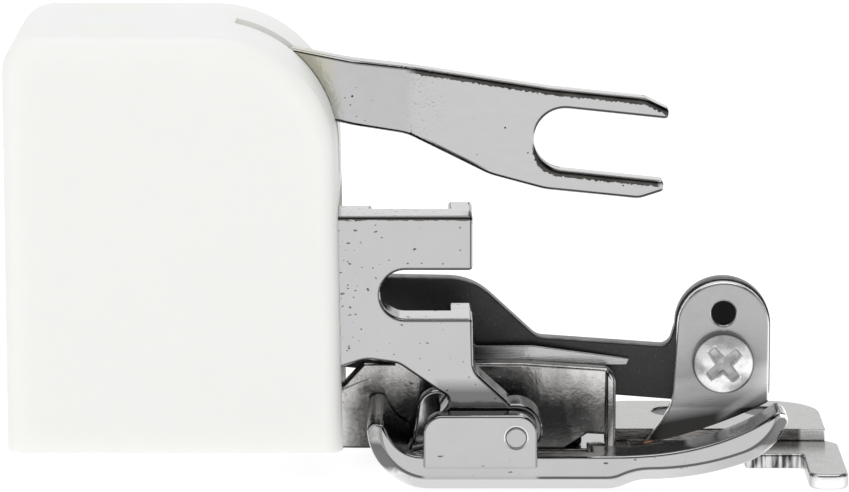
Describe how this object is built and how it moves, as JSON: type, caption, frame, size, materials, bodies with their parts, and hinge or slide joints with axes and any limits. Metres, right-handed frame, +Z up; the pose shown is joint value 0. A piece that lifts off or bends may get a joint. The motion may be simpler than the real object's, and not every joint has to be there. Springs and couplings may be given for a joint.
{
  "type": "side cutter presser foot",
  "caption": "Low-shank presser foot with a needle-driven trimming knife: slotted shank, hinged sole, fork lever, knife arm and a moulded cover.",
  "frame": {"origin": "centre of the shank slot's round end, on the shank's left face", "axes": "+X to the front of the machine, +Y to its right, away from the shank's left face, +Z up along the presser bar"},
  "size_m": [0.0651, 0.0244, 0.0358],
  "materials": {
    "white_plastic": "satin moulded",
    "chrome": "bright plated casting",
    "ground_steel": "ground",
    "black_steel": "black oxide",
    "plain_steel": "turned",
    "plated_screw": "bright plated"
  },
  "bodies": {
    "frame": {"main_frame": "chrome", "base_plate": "plain_steel", "cover_shell": "white_plastic", "cover_screws": "plated_screw", "knife_pivot": "plain_steel", "knife_clip": "plain_steel", "pressure_spring": "ground_steel", "spring_screw": "plated_screw", "guide_plate": "ground_steel", "guide_screws": "plated_screw", "lower_knife": "ground_steel", "lower_knife_screws": "plated_screw"},
    "lever": {"fork_lever": "chrome", "crank_shaft": "plain_steel", "crank_clip": "plain_steel"},
    "knife": {"knife_arm": "black_steel", "upper_knife": "ground_steel", "knife_screw": "plated_screw", "knife_dowel": "black_steel"},
    "sole": {"presser_sole": "chrome", "sole_pin": "plain_steel"}
  },
  "joints": [
    {"name": "lever_swing", "type": "hinge", "parent": "frame", "child": "lever", "pos_m": [-0.0125, 0.005, 0.0135], "axis": [0, -1, 0], "range_deg": [-22, 38]},
    {"name": "knife_rock", "type": "hinge", "parent": "frame", "child": "knife", "pos_m": [-0.0125, 0.0124, -0.0055], "axis": [0, -1, 0], "range_deg": [-1.15, 1.95]},
    {"name": "sole_tilt", "type": "hinge", "parent": "frame", "child": "sole", "pos_m": [0.00855, 0.00155, -0.01071], "axis": [0, -1, 0], "range_deg": [-6, 6]}
  ],
  "couplings": [
    {"joint": "knife_rock", "follows": "lever_swing", "ratio": 0.05}
  ]
}
